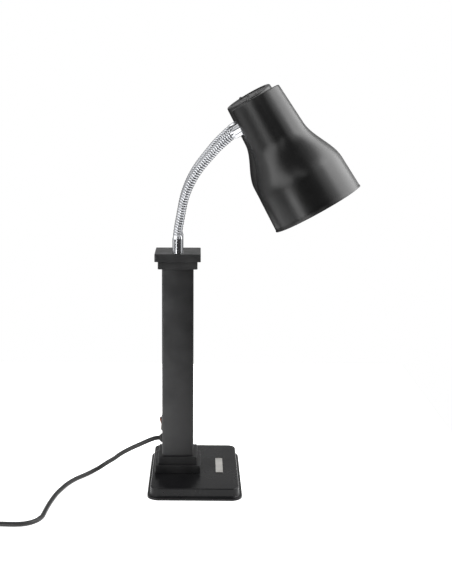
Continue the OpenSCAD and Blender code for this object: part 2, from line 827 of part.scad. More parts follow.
module cord() {
    color("#111111") on_column() tube(CORD, cord_r, 8);
}

// Coil: it winds clockwise, in to its middle and out again one layer up
function coil_height(u) = coil_low + coil_step
    * min(max((u - coil_turns / 2 + 0.25) / 0.5, 0), 1);
function coil_point(u) = let (
    r = coil_in + coil_pitch * abs(u - coil_turns / 2), a = -90 - 360 * u
) [coil_x + r * cos(a), coil_start_y + coil_out + r * sin(a), coil_height(u)];
COIL = concat(
    [[coil_x + 2 * cord_r, coil_start_y, coil_low]],
    [for (i = [0 : coil_turns * coil_rings]) coil_point(i / coil_rings)],
    [[coil_x - coil_tail, coil_start_y, plug_z]]
);
coil_gap = min([for (i = [0 : 3 : len(COIL) - 20]) min([
    for (j = [i + 14 : len(COIL) - 1]) norm(COIL[i] - COIL[j])])]) - 2 * cord_r;
echo(least_gap_in_coil = coil_gap);

module cord_coil() {
    color("#111111") on_column() tube(COIL, cord_r, 6);
}

// Strap round the coil's bundle, on the side away from the lamp
module cord_tie() {
    near = coil_in - cord_r - 2.2;
    far = coil_out + cord_r + 0.4;
    top = plug_z + cord_r + 0.5;
    color("#2a2a2a") on_column() translate([coil_x, coil_start_y + coil_out, 0])
        rotate([90, 0, 0]) linear_extrude(tie_w, center = true) difference() {
            translate([-far - tie_t, 0]) square([far - near + 2 * tie_t, top + tie_t]);
            translate([-far, tie_t]) square([far - near, top - tie_t]);
        }
}

// Places a child at the coil's end, with +Z along the cord's last stretch
module at_plug() {
    on_column(plug_z) translate([coil_x - coil_tail, coil_start_y, 0]) rotate([0, -90, 0]) children();
}

// Moulded plug with a tapered, grooved strain relief
module plug() {
    color("#131313") at_plug() difference() {
        union() {
            difference() {
                cylinder(r1 = cord_r + 0.9, r2 = relief_r, h = relief_len);
                for (z = [4 : 4.5 : relief_len - 4]) translate([0, 0, z]) ring(12, cord_r + 1.1, 1.4);
            }
            translate([0, 0, relief_len + plug_len / 2]) rotate([90, 0, 0])
                linear_extrude(plug_w, center = true) round_rect(2 * plug_z, plug_len, 4);
        }
        pins(slip);
    }
}

// Two flat blades and a round earth pin, moulded into the plug
module pins(grow) {
    translate([0, 0, relief_len + plug_len - pin_root - grow]) {
        for (y = [-1, 1]) translate([2.6 - grow, y * blade_gap / 2 - 0.75 - grow, 0])
            cube([6.3 + 2 * grow, 1.5 + 2 * grow, blade_len + pin_root + grow]);
        translate([-5.5, 0, 0]) cylinder(r = 2.4 + grow, h = blade_len + pin_root + 3 + grow);
    }
}

module plug_pins() {
    color("#cfc9a8") at_plug() pins(0);
}

base_pan();
base_ballast();
bottom_plate();
base_pad();
bottom_screws();
plinth_lower();
plinth_upper();
column();
cap_lower();
cap_upper();
tie_rod();
rod_nut();
cap_screws();
switch_body();
rocker();
cord_bushing();
bushing_nut();
terminal_block();
neck_foot(RIGHT);  // right_neck_foot
neck_foot(LEFT);  // left_neck_foot
neck_locknuts();
neck_section(RIGHT, 1);  // right_neck_1
neck_section(RIGHT, 2);  // right_neck_2
neck_section(RIGHT, 3);  // right_neck_3
neck_section(RIGHT, 4);  // right_neck_4
neck_section(RIGHT, 5);  // right_neck_5
neck_section(RIGHT, 6);  // right_neck_6
neck_section(RIGHT, 7);  // right_neck_7
neck_section(LEFT, 1);  // left_neck_1
neck_section(LEFT, 2);  // left_neck_2
neck_section(LEFT, 3);  // left_neck_3
neck_section(LEFT, 4);  // left_neck_4
neck_section(LEFT, 5);  // left_neck_5
neck_section(LEFT, 6);  // left_neck_6
neck_section(LEFT, 7);  // left_neck_7
head_ferrule(RIGHT);  // right_head_ferrule
ferrule_nut(RIGHT);  // right_ferrule_nut
shade(RIGHT);  // right_shade
vent_plate(RIGHT);  // right_vent_plate
holder_strap(RIGHT);  // right_holder_strap
lampholder(RIGHT);  // right_lampholder
bulb_base(RIGHT);  // right_bulb_base
bulb_glass(RIGHT);  // right_bulb_glass
head_screws(RIGHT);  // right_head_screws
head_ferrule(LEFT);  // left_head_ferrule
ferrule_nut(LEFT);  // left_ferrule_nut
shade(LEFT);  // left_shade
vent_plate(LEFT);  // left_vent_plate
holder_strap(LEFT);  // left_holder_strap
lampholder(LEFT);  // left_lampholder
bulb_base(LEFT);  // left_bulb_base
bulb_glass(LEFT);  // left_bulb_glass
head_screws(LEFT);  // left_head_screws
cord();
cord_coil();
cord_tie();
plug();
plug_pins();
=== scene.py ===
# Freestanding food heat lamp: the looks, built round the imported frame.
# Metres throughout. +X is the front, +Y the lamp's own left and +Z up.
import math
import bmesh
import bpy
from mathutils import Matrix, Vector


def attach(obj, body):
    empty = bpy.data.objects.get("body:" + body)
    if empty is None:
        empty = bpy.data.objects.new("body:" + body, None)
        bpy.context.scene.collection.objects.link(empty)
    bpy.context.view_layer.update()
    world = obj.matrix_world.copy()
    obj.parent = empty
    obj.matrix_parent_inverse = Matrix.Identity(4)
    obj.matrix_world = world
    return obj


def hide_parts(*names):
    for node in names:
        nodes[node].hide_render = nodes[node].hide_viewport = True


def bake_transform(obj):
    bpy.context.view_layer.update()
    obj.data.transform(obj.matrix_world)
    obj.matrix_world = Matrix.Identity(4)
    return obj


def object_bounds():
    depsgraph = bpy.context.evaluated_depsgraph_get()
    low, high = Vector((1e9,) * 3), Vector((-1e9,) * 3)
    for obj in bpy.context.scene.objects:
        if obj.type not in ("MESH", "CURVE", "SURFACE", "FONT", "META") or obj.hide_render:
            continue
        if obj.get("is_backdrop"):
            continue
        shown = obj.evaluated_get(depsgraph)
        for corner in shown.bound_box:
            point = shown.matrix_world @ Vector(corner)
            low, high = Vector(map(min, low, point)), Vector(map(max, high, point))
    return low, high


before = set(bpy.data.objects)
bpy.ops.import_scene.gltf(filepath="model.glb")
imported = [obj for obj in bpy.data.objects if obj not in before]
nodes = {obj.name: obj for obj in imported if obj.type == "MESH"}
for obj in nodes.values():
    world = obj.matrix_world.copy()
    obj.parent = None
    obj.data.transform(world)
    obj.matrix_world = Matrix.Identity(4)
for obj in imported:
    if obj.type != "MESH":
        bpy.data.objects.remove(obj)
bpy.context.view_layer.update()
bpy.ops.object.select_all(action="DESELECT")

# Camera
# It stands where the photograph was taken from: level with the heads and tipped
# a little down, on the lamp's right-hand side. Shift frames the picture.
camera_at = Vector((0.00495, -1.63880, 0.62507))
camera_pitch = 5.708
camera_turn = 1.15
camera_data = bpy.data.cameras.new("camera")
camera_data.sensor_width = 36
camera_data.lens = 63.90
camera_data.shift_x = 0.0826
camera_data.shift_y = -0.1664
camera = bpy.data.objects.new("camera", camera_data)
camera.location = camera_at
camera.rotation_euler = (math.radians(90 - camera_pitch), 0, math.radians(camera_turn))
bpy.context.scene.collection.objects.link(camera)
bpy.context.scene.camera = camera

# Studio
# A white table in a white room. In mirrored light the room is dark behind the
# camera, and banded by height behind the lamp. Two soft boxes on the picture's
# right and three on its left draw the shades' pale bands, and one lights the tops.
scene = bpy.context.scene
scene.view_settings.view_transform = "Standard"


def soft_box(name, place, target, width, height, power):
    """Rectangular lamp at a place, turned to a target."""
    data = bpy.data.lights.new(name, "AREA")
    data.shape = "RECTANGLE"
    data.size = width
    data.size_y = height
    data.energy = power
    lamp = bpy.data.objects.new(name, data)
    lamp.location = place
    lamp.rotation_euler = (Vector(target) - Vector(place)).to_track_quat("-Z", "Y").to_euler()
    scene.collection.objects.link(lamp)


def seen_rays(tree):
    """Socket that is 1 for the rays that look at a backdrop, by eye, in metal or through glass."""
    rays = tree.nodes.new("ShaderNodeLightPath")
    found = rays.outputs["Is Camera Ray"]
    for name in ("Is Glossy Ray", "Is Transmission Ray"):
        either = tree.nodes.new("ShaderNodeMath")
        either.operation = "MAXIMUM"
        tree.links.new(found, either.inputs[0])
        tree.links.new(rays.outputs[name], either.inputs[1])
        found = either.outputs[0]
    return found


def soft_box_round(name, around, out, round_to, up, wide, high, level):
    """Soft box that looks wide by high degrees from a point, at an even level of light."""
    turn, rise = math.radians(round_to), math.radians(up)
    way = Vector((math.sin(turn) * math.cos(rise), -math.cos(turn) * math.cos(rise), math.sin(rise)))
    width = 2 * out * math.tan(math.radians(wide / 2))
    height = 2 * out * math.tan(math.radians(high / 2))
    power = level * math.pi * width * height
    soft_box(name, Vector(around) + way * out, around, width, height, power)


heads_at = (0.13, -0.08, 0.56)
soft_box_round("right_soft_box", heads_at, 1.6, 98, 30, 70, 56, 4.0)
soft_box_round("right_front_soft_box", heads_at, 1.7, 52, 36, 44, 44, 1.4)
soft_box_round("left_soft_box", heads_at, 1.3, -60, 5, 56, 28, 2.9)
soft_box_round("left_low_soft_box", heads_at, 1.2, -37, -25, 14, 15, 7.5)
soft_box_round("left_high_soft_box", heads_at, 1.5, -14, 26, 30, 14, 1.4)
soft_box("top_soft_box", (-0.2, 0.4, 2.1), (0, 0, 0.2), 1.4, 1.4, 8)

room_light_level = 0.40
room_front_y = (-0.30, 0.12)
room_front_levels = (0.05, 1.0)
room_back_y = (0.15, 0.80)
room_bands = ((0.05, 0.05), (0.11, 0.8), (0.19, 0.8), (0.27, 0.14), (0.5, 0.55))
world = bpy.data.worlds.new("studio")
scene.world = world
world.use_nodes = True
room = world.node_tree
room.nodes.clear()
room_out = room.nodes.new("ShaderNodeOutputWorld")
room_place = room.nodes.new("ShaderNodeTexCoord")
room_axes = room.nodes.new("ShaderNodeSeparateXYZ")


def white_room(level):
    """White background at an even level."""
    made = room.nodes.new("ShaderNodeBackground")
    made.inputs["Color"].default_value = (1, 1, 1, 1)
    made.inputs["Strength"].default_value = level
    return made


def room_ramp(source, reach, levels):
    """Value that goes evenly between two levels while the source goes through its reach."""
    ramp = room.nodes.new("ShaderNodeMapRange")
    for socket, value in zip(("From Min", "From Max", "To Min", "To Max"), (*reach, *levels)):
        ramp.inputs[socket].default_value = value
    room.links.new(source, ramp.inputs["Value"])
    return ramp.outputs["Result"]


room_white = white_room(1.0)
room_shown = white_room(1.0)
room_light = white_room(room_light_level)
room.links.new(room_place.outputs["Generated"], room_axes.inputs[0])
room_front = room_ramp(room_axes.outputs["Y"], room_front_y, room_front_levels)
room_back = room_ramp(room_axes.outputs["Y"], room_back_y, (0.0, 1.0))
room_low = room.nodes.new("ShaderNodeValToRGB")
room_steps = room_low.color_ramp.elements
for step, (height, level) in enumerate(room_bands):
    spot = room_steps[step] if step < 2 else room_steps.new(height)
    spot.position = height
    spot.color = (level, level, level, 1)
room.links.new(room_axes.outputs["Z"], room_low.inputs["Fac"])
room_behind = room.nodes.new("ShaderNodeMix")
room_behind.inputs["A"].default_value = 1.0
room.links.new(room_back, room_behind.inputs["Factor"])
room.links.new(room_low.outputs["Color"], room_behind.inputs["B"])
room_level = room.nodes.new("ShaderNodeMath")
room_level.operation = "MULTIPLY"
room.links.new(room_front, room_level.inputs[0])
room.links.new(room_behind.outputs["Result"], room_level.inputs[1])
room.links.new(room_level.outputs[0], room_shown.inputs["Strength"])
room_rays = room.nodes.new("ShaderNodeLightPath")
room_mirror = room.nodes.new("ShaderNodeMixShader")
room_eye = room.nodes.new("ShaderNodeMixShader")
room.links.new(seen_rays(room), room_mirror.inputs["Fac"])
room.links.new(room_light.outputs[0], room_mirror.inputs[1])
room.links.new(room_shown.outputs[0], room_mirror.inputs[2])
room.links.new(room_rays.outputs["Is Camera Ray"], room_eye.inputs["Fac"])
room.links.new(room_mirror.outputs[0], room_eye.inputs[1])
room.links.new(room_white.outputs[0], room_eye.inputs[2])
room.links.new(room_eye.outputs[0], room_out.inputs["Surface"])

floor_at = (-0.08, 0.1, -0.0001)
floor_w = 1.1
floor_d = 1.2
floor_grey = 0.85
floor_glow = 0.75
bpy.ops.mesh.primitive_plane_add(size=1, location=floor_at)
floor = bpy.context.object
floor.name = "floor"
floor.scale = (floor_w, floor_d, 1)
bpy.ops.object.transform_apply(location=True, rotation=True, scale=True)
floor_paint = bpy.data.materials.new("floor_white")
floor_paint.use_nodes = True
floor_tree = floor_paint.node_tree
floor_base = floor_tree.nodes["Principled BSDF"]
floor_base.inputs["Base Color"].default_value = (floor_grey, floor_grey, floor_grey, 1)
floor_base.inputs["Roughness"].default_value = 0.9
floor_base.inputs["Specular IOR Level"].default_value = 0.1
floor_lift = floor_tree.nodes.new("ShaderNodeEmission")
floor_lift.inputs["Strength"].default_value = floor_glow
floor_both = floor_tree.nodes.new("ShaderNodeAddShader")
floor_pick = floor_tree.nodes.new("ShaderNodeMixShader")
floor_tree.links.new(floor_base.outputs[0], floor_both.inputs[0])
floor_tree.links.new(floor_lift.outputs[0], floor_both.inputs[1])
floor_tree.links.new(seen_rays(floor_tree), floor_pick.inputs["Fac"])
floor_tree.links.new(floor_base.outputs[0], floor_pick.inputs[1])
floor_tree.links.new(floor_both.outputs[0], floor_pick.inputs[2])
floor_tree.links.new(floor_pick.outputs[0], floor_tree.nodes["Material Output"].inputs["Surface"])
floor.data.materials.append(floor_paint)
floor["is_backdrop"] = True
bpy.ops.object.select_all(action="DESELECT")

# Base pan
# Pressed steel tray, enamelled gloss black, with a low lip all round and a
# hollow underside. It is drawn in one piece: plan, lip, upper tier, then rounds.
base_w = 0.147
base_d = 0.209
base_h = 0.0179
pan_low = 0.0006
lip_h = 0.004
lip_out = 0.005
pan_wall = 0.0024
pan_corner = 0.018
upper_round = 0.0018
inner_round = 0.0022
lip_round = 0.0009


def surface_grain():
    """Node group: a fine grain for bump, and a slow patchiness for colour and gloss."""
    group = bpy.data.node_groups.new("surface grain", "ShaderNodeTree")
    face = group.interface
    face.new_socket("Place", in_out="INPUT", socket_type="NodeSocketVector")
    face.new_socket("Grain size", in_out="INPUT", socket_type="NodeSocketFloat")
    face.new_socket("Patch size", in_out="INPUT", socket_type="NodeSocketFloat")
    face.new_socket("Grain", in_out="OUTPUT", socket_type="NodeSocketFloat")
    face.new_socket("Patches", in_out="OUTPUT", socket_type="NodeSocketFloat")
    entry = group.nodes.new("NodeGroupInput")
    leave = group.nodes.new("NodeGroupOutput")
    for size, out, detail in (("Grain size", "Grain", 3), ("Patch size", "Patches", 4)):
        scale = group.nodes.new("ShaderNodeMath")
        scale.operation = "DIVIDE"
        scale.inputs[0].default_value = 1
        noise = group.nodes.new("ShaderNodeTexNoise")
        noise.inputs["Detail"].default_value = detail
        group.links.new(entry.outputs[size], scale.inputs[1])
        group.links.new(scale.outputs[0], noise.inputs["Scale"])
        group.links.new(entry.outputs["Place"], noise.inputs["Vector"])
        group.links.new(noise.outputs["Fac"], leave.inputs[out])
    return group


grain_group = surface_grain()
patch_from = 0.35
patch_to = 0.65


def finish_material(name, dark, light, gloss, grain=0.0008, patch=0.03, bump=0.1, depth=0.0001,
                    metallic=0.0, coat=0.0, coat_rough=0.1, specular=0.5):
    """Material with patchy colour and gloss and a fine grain. gloss is its lowest and highest roughness."""
    made = bpy.data.materials.new(name)
    made.use_nodes = True
    tree = made.node_tree
    shader = tree.nodes["Principled BSDF"]
    shader.inputs["Metallic"].default_value = metallic
    shader.inputs["Specular IOR Level"].default_value = specular
    shader.inputs["Coat Weight"].default_value = coat
    shader.inputs["Coat Roughness"].default_value = coat_rough
    place = tree.nodes.new("ShaderNodeTexCoord")
    grains = tree.nodes.new("ShaderNodeGroup")
    grains.node_tree = grain_group
    grains.inputs["Grain size"].default_value = grain
    grains.inputs["Patch size"].default_value = patch
    tree.links.new(place.outputs["Object"], grains.inputs["Place"])
    tone = tree.nodes.new("ShaderNodeValToRGB")
    tone.color_ramp.elements[0].position = patch_from
    tone.color_ramp.elements[0].color = (*dark, 1)
    tone.color_ramp.elements[1].position = patch_to
    tone.color_ramp.elements[1].color = (*light, 1)
    tree.links.new(grains.outputs["Patches"], tone.inputs["Fac"])
    tree.links.new(tone.outputs["Color"], shader.inputs["Base Color"])
    rough = tree.nodes.new("ShaderNodeMapRange")
    rough.inputs["From Min"].default_value = patch_from
    rough.inputs["From Max"].default_value = patch_to
    rough.inputs["To Min"].default_value = gloss[0]
    rough.inputs["To Max"].default_value = gloss[1]
    tree.links.new(grains.outputs["Patches"], rough.inputs["Value"])
    tree.links.new(rough.outputs["Result"], shader.inputs["Roughness"])
    relief = tree.nodes.new("ShaderNodeBump")
    relief.inputs["Strength"].default_value = bump
    relief.inputs["Distance"].default_value = depth
    tree.links.new(grains.outputs["Grain"], relief.inputs["Height"])
    tree.links.new(relief.outputs["Normal"], shader.inputs["Normal"])
    return made


def pick(piece, kind, test):
    """In edit mode, selects just the edges or faces of piece that pass a test."""
    form = bmesh.from_edit_mesh(piece.data)
    bpy.ops.mesh.select_all(action="DESELECT")
    bpy.ops.mesh.select_mode(type="EDGE" if kind == "edges" else "FACE")
    for part in getattr(form, kind):
        part.select_set(bool(test(part)))
    bmesh.update_edit_mesh(piece.data)


def at_height(part, height):
    """Whether an edge or a face lies level at a height."""
    return all(abs(v.co.z - height) < 1e-5 for v in part.verts)


def dress(piece, material, body, replaced=(), angle=35, flats=True):
    """Smooths a finished piece, paints it, hangs it on its body and hides the CAD nodes that it replaces.
    """
    bpy.ops.object.select_all(action="DESELECT")
    piece.select_set(True)
    bpy.context.view_layer.objects.active = piece
    bpy.ops.object.transform_apply(location=True, rotation=True, scale=True)
    bpy.ops.object.shade_smooth_by_angle(angle=math.radians(angle))
    if flats:
        level = piece.modifiers.new("flat faces", "WEIGHTED_NORMAL")
        level.keep_sharp = True
        bpy.ops.object.modifier_apply(modifier=level.name)
    if material:
        piece.data.materials.clear()
        piece.data.materials.append(material)
    if body:
        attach(piece, body)
    if replaced:
        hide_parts(*replaced)
    piece.select_set(False)
    return piece


base_enamel = finish_material("base_enamel", (0.005, 0.005, 0.0055), (0.009, 0.009, 0.0095), (0.22, 0.28),
                              grain=0.0012, patch=0.06, bump=0.04, depth=0.00005, specular=0.2)
bpy.ops.mesh.primitive_plane_add(size=1, location=(0, 0, pan_low))
pan = bpy.context.object
pan.name = "base_shell"
pan.scale = (base_w, base_d, 1)
bpy.ops.object.transform_apply(location=True, rotation=True, scale=True)
bpy.ops.object.mode_set(mode="EDIT")
bpy.ops.mesh.select_all(action="SELECT")
bpy.ops.mesh.bevel(offset=pan_corner, segments=14, affect="VERTICES")
bpy.ops.mesh.extrude_region_move(TRANSFORM_OT_translate={"value": (0, 0, lip_h - pan_low)})
bpy.ops.mesh.inset(thickness=lip_out)
bpy.ops.mesh.extrude_region_move(TRANSFORM_OT_translate={"value": (0, 0, base_h - lip_h)})
pick(pan, "faces", lambda f: at_height(f, pan_low))
bpy.ops.mesh.inset(thickness=lip_out + pan_wall)
bpy.ops.mesh.extrude_region_move(TRANSFORM_OT_translate={"value": (0, 0, base_h - pan_wall - pan_low)})
pick(pan, "edges", lambda e: at_height(e, base_h))
bpy.ops.mesh.bevel(offset=upper_round, segments=5, affect="EDGES")


def at_pan_wall(part):
    """Whether an edge lies within the lip, at the upper tier's foot."""
    return all(abs(v.co.x) < base_w / 2 - 0.9 * lip_out and abs(v.co.y) < base_d / 2 - 0.9 * lip_out
               for v in part.verts)


pick(pan, "edges", lambda e: at_height(e, lip_h) and at_pan_wall(e) and len(e.link_faces) == 2)
bpy.ops.mesh.bevel(offset=inner_round, segments=5, affect="EDGES")
pick(pan, "edges", lambda e: at_height(e, lip_h) and not at_pan_wall(e)
     and any(v.co.z < lip_h - 0.001 for f in e.link_faces for v in f.verts))
bpy.ops.mesh.bevel(offset=lip_round, segments=3, affect="EDGES")
bpy.ops.mesh.select_all(action="SELECT")
bpy.ops.mesh.normals_make_consistent(inside=False)
bpy.ops.object.mode_set(mode="OBJECT")
dress(pan, base_enamel, "root", ["base_pan"])

# Weight and underside
# A cast iron block fills the tray. A zinc-plated steel plate closes it, held by
# four screws whose heads sit in holes in the black rubber pad.
cast_iron = finish_material("cast_iron", (0.05, 0.05, 0.052), (0.11, 0.11, 0.11), (0.6, 0.8),
                            grain=0.0015, patch=0.02, bump=0.6, depth=0.0004, metallic=0.7)
zinc = finish_material("zinc_plate", (0.42, 0.42, 0.41), (0.62, 0.62, 0.60), (0.28, 0.45),
                       grain=0.001, patch=0.006, bump=0.1, depth=0.00006, metallic=1.0)
rubber = finish_material("rubber_pad", (0.018, 0.018, 0.018), (0.032, 0.031, 0.030), (0.75, 0.9),
                         grain=0.0006, patch=0.012, bump=0.5, depth=0.0001, specular=0.3)


def paint(material, *names):
    """Gives CAD nodes, which stay as they are, their material."""
    for name in names:
        skin = nodes[name].data.materials
        skin.clear()
        skin.append(material)


paint(cast_iron, "base_ballast")
paint(zinc, "bottom_plate", "bottom_screws", "tie_rod", "rod_nut", "cap_screws", "neck_locknuts")
paint(rubber, "base_pad")

# Plates of the plinth and the cap
# Four square plates, sprayed satin black: the larger ones at the bottom and at
# the very top. Their upper edges are rounded over a little. The two cap plates get a lighter copy of the
# black than the plinth plates: painted light.
column_x = -0.0276
plate_t = 0.0125
wide_plate = 0.0728
narrow_plate = 0.0626
plate_corner = 0.0025
plate_round = 0.0009
plate_break = 0.0005
column_low = base_h + 2 * plate_t
column_h = 0.3034
cap_low = column_low + column_h
plate_paint = finish_material("plate_paint", (0.008, 0.008, 0.0085), (0.013, 0.013, 0.0135), (0.34, 0.44),
                              grain=0.0007, patch=0.02, bump=0.12, depth=0.00006, specular=0.22)
# Painted light: the same satin black as the plinth plates, coloured lighter for the cap plates.
lit_cap_paint = finish_material("lit_cap_paint", (0.022, 0.022, 0.0225), (0.030, 0.030, 0.0305), (0.34, 0.44),
                            grain=0.0007, patch=0.02, bump=0.12, depth=0.00006, specular=0.25)
plates = (("plinth_lower", wide_plate, base_h), ("plinth_upper", narrow_plate, base_h + plate_t),
          ("cap_lower", narrow_plate, cap_low), ("cap_upper", wide_plate, cap_low + plate_t))
for name, width, low in plates:
    bpy.ops.mesh.primitive_cube_add(size=1, location=(column_x, 0, low + plate_t / 2))
    plate = bpy.context.object
    plate.name = name + "_plate"
    plate.scale = (width, width, plate_t)
    bpy.ops.object.transform_apply(location=True, rotation=True, scale=True)
    bpy.ops.object.mode_set(mode="EDIT")
    pick(plate, "edges", lambda e: abs(e.verts[0].co.z - e.verts[1].co.z) > plate_t / 2)
    bpy.ops.mesh.bevel(offset=plate_corner, segments=5, affect="EDGES")
    pick(plate, "edges", lambda e: at_height(e, low + plate_t))
    bpy.ops.mesh.bevel(offset=plate_round, segments=3, affect="EDGES")
    pick(plate, "edges", lambda e: at_height(e, low))
    bpy.ops.mesh.bevel(offset=plate_break, segments=2, affect="EDGES")
    bpy.ops.object.mode_set(mode="OBJECT")
    paint_used = lit_cap_paint if name.startswith("cap") else plate_paint
    dress(plate, paint_used, "root", [name])

# Column
# Square steel tube with a fine black powder coat. Its colour is scaled lighter toward
# the back and darker toward the front: painted light and shade. The frame's own solid already has its
# corners and its openings.
lit_back_scale = 2.1
shaded_front_scale = 0.4
powder_coat = finish_material("powder_coat", (0.013, 0.013, 0.0135), (0.019, 0.019, 0.0195), (0.38, 0.46),
                              grain=0.0005, patch=0.03, bump=0.35, depth=0.00008, specular=0.35)
coat_tree = powder_coat.node_tree
coat_place = coat_tree.nodes.new("ShaderNodeTexCoord")
coat_axes = coat_tree.nodes.new("ShaderNodeSeparateXYZ")
# Painted light and shade: the base colour is scaled from bright at the back to dark at the front.
painted_light_ramp = coat_tree.nodes.new("ShaderNodeMapRange")
painted_light_ramp.inputs["To Min"].default_value = lit_back_scale
painted_light_ramp.inputs["To Max"].default_value = shaded_front_scale
painted_light_tone = coat_tree.nodes.new("ShaderNodeVectorMath")
painted_light_tone.operation = "SCALE"
coat_colour = coat_tree.nodes["Principled BSDF"].inputs["Base Color"]
coat_tree.links.new(coat_place.outputs["Generated"], coat_axes.inputs[0])
coat_tree.links.new(coat_axes.outputs["X"], painted_light_ramp.inputs["Value"])
coat_tree.links.new(coat_colour.links[0].from_socket, painted_light_tone.inputs[0])
coat_tree.links.new(painted_light_ramp.outputs["Result"], painted_light_tone.inputs["Scale"])
coat_tree.links.new(painted_light_tone.outputs["Vector"], coat_colour)
paint(powder_coat, "column")

# Switch
# A rocker switch snapped into the column's back: a black frame, and a rocker of
# glossy red-brown plastic that rests with its upper end out.
weld_gap = 2e-6
switch_black = finish_material("switch_black", (0.012, 0.012, 0.012), (0.02, 0.02, 0.02), (0.3, 0.42),
                               grain=0.0004, patch=0.008, bump=0.1, depth=0.00004)
rocker_red = finish_material("rocker_red", (0.17, 0.045, 0.02), (0.27, 0.075, 0.032), (0.12, 0.2),
                             grain=0.0006, patch=0.005, bump=0.05, depth=0.00003, coat=0.4)
terminal_plastic = finish_material("terminal_plastic", (0.58, 0.55, 0.47), (0.66, 0.63, 0.55), (0.5, 0.6),
                                   grain=0.0005, patch=0.01, bump=0.1, depth=0.00004)


def smooth_copy(name, piece_name, edge=0.0, segments=2):
    """Copy of a CAD node with its triangles joined, and its edges rounded if edge is given."""
    piece = nodes[name].copy()
    piece.data = nodes[name].data.copy()
    piece.name = piece_name
    piece.parent = None
    for key in list(piece.keys()):
        del piece[key]
    scene.collection.objects.link(piece)
    bpy.ops.object.select_all(action="DESELECT")
    piece.select_set(True)
    bpy.context.view_layer.objects.active = piece
    bpy.ops.object.mode_set(mode="EDIT")
    bpy.ops.mesh.select_all(action="SELECT")
    bpy.ops.mesh.customdata_custom_splitnormals_clear()
    bpy.ops.mesh.remove_doubles(threshold=weld_gap)
    bpy.ops.mesh.dissolve_limited(angle_limit=math.radians(0.5))
    bpy.ops.object.mode_set(mode="OBJECT")
    if edge:
        round_over = piece.modifiers.new("round edges", "BEVEL")
        round_over.width = edge
        round_over.segments = segments
        round_over.limit_method = "ANGLE"
        round_over.angle_limit = math.radians(30)
        round_over.use_clamp_overlap = True
        bpy.ops.object.modifier_apply(modifier=round_over.name)
    return piece


dress(smooth_copy("switch_body", "switch_frame", edge=0.0004), switch_black, "root",
      ["switch_body"])
dress(smooth_copy("rocker", "switch_rocker", edge=0.0003), rocker_red, "rocker", ["rocker"])
paint(terminal_plastic, "terminal_block")

# Cord bushing
# A short black nylon bushing screwed into the column, with its nut inside.
bushing_black = finish_material("bushing_nylon", (0.012, 0.012, 0.012), (0.02, 0.02, 0.02), (0.4, 0.55),
                                grain=0.0004, patch=0.006, bump=0.2, depth=0.00004)
dress(smooth_copy("cord_bushing", "bushing", edge=0.0003), bushing_black, "root",
      ["cord_bushing"])
paint(bushing_black, "bushing_nut")

# Cord
# Round black three-core cord. It leaves the column's back, bends down to the table,
# runs to the lamp's right and turns to the back, where the rest of it lies in a
# flat coil of two layers. The route is in millimetres from the column's axis.
cord_r = 0.0035
route = [
    (-30, 0, 64), (-37, 0, 63.2), (-47, 0, 59.6), (-60.3, 1, 53.1), (-73, 3, 46.6), (-84, 5, 40.4),
    (-95, 8, 33), (-105, 10, 25), (-117, 12, 17), (-129, 10, 9.6), (-141, 3, 5), (-152.8, -10.4, 3.6),
    (-162.5, -23, 3.5), (-170.1, -36.7, 3.5), (-176, -50, 3.5), (-180.5, -64.8, 3.5),
    (-185.4, -82, 3.5), (-188.8, -99.8, 3.5), (-192.8, -131.1, 3.5), (-194.9, -160, 3.5),
    (-196.5, -176, 3.5), (-203, -190, 3.5), (-215, -200, 3.6), (-231, -204, 3.9),
    (-255, -204, 4.3), (-280, -204, 4.5), (-306, -204, 4.5), (-313, -204, 4.5),
]
coil_x = -0.320
coil_start_y = -0.204
coil_in = 0.029
coil_pitch = 0.0075
coil_turns = 5
coil_out = coil_in + coil_pitch * coil_turns / 2
coil_low = 0.0045
coil_step = 0.0075
coil_rings = 48
coil_tail = 5 * cord_r
climb_turns = 0.5
route_steps = 5


def coil_point(turn):
    """Point of the coil after some turns: in to the middle, up a layer and out again."""
    r = coil_in + coil_pitch * abs(turn - coil_turns / 2)
    angle = math.radians(-90 - 360 * turn)
    rise = min(max((turn - coil_turns / 2 + climb_turns / 2) / climb_turns, 0), 1)
    return Vector((column_x + coil_x + r * math.cos(angle), coil_start_y + coil_out + r * math.sin(angle),
                   coil_low + coil_step * rise))


def smooth_route(points, steps):
    """Points on a smooth curve through a route."""
    out = []
    for i in range(len(points) - 1):
        a, b, c, d = points[max(i - 1, 0)], points[i], points[i + 1], points[min(i + 2, len(points) - 1)]
        for j in range(steps):
            t = j / steps
            out.append(0.5 * (2 * b + (c - a) * t + (2 * a - 5 * b + 4 * c - d) * t ** 2
                              + (3 * b - a - 3 * c + d) * t ** 3))
    return out + [points[-1]]


cord_points = smooth_route([Vector((column_x + x / 1000, y / 1000, z / 1000)) for x, y, z in route],
                           route_steps)
cord_points += [coil_point(i / coil_rings) for i in range(coil_turns * coil_rings + 1)]
cord_points.append(Vector((column_x + coil_x - coil_tail, coil_start_y, coil_low + coil_step)))
cord_line = bpy.data.curves.new("cord", "CURVE")
cord_line.dimensions = "3D"
cord_line.bevel_depth = cord_r
cord_line.bevel_resolution = 6
cord_line.use_fill_caps = True
spline = cord_line.splines.new("POLY")
spline.points.add(len(cord_points) - 1)
for point, place in zip(spline.points, cord_points):
    point.co = (*place, 1)
spline.use_smooth = True
cord = bpy.data.objects.new("power_cord", cord_line)
scene.collection.objects.link(cord)
cord_jacket = finish_material("cord_jacket", (0.004, 0.004, 0.004), (0.008, 0.008, 0.008), (0.38, 0.5),
                              grain=0.0009, patch=0.03, bump=0.25, depth=0.00008)
cord_line.materials.append(cord_jacket)
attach(cord, "root")
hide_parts("cord", "cord_coil")

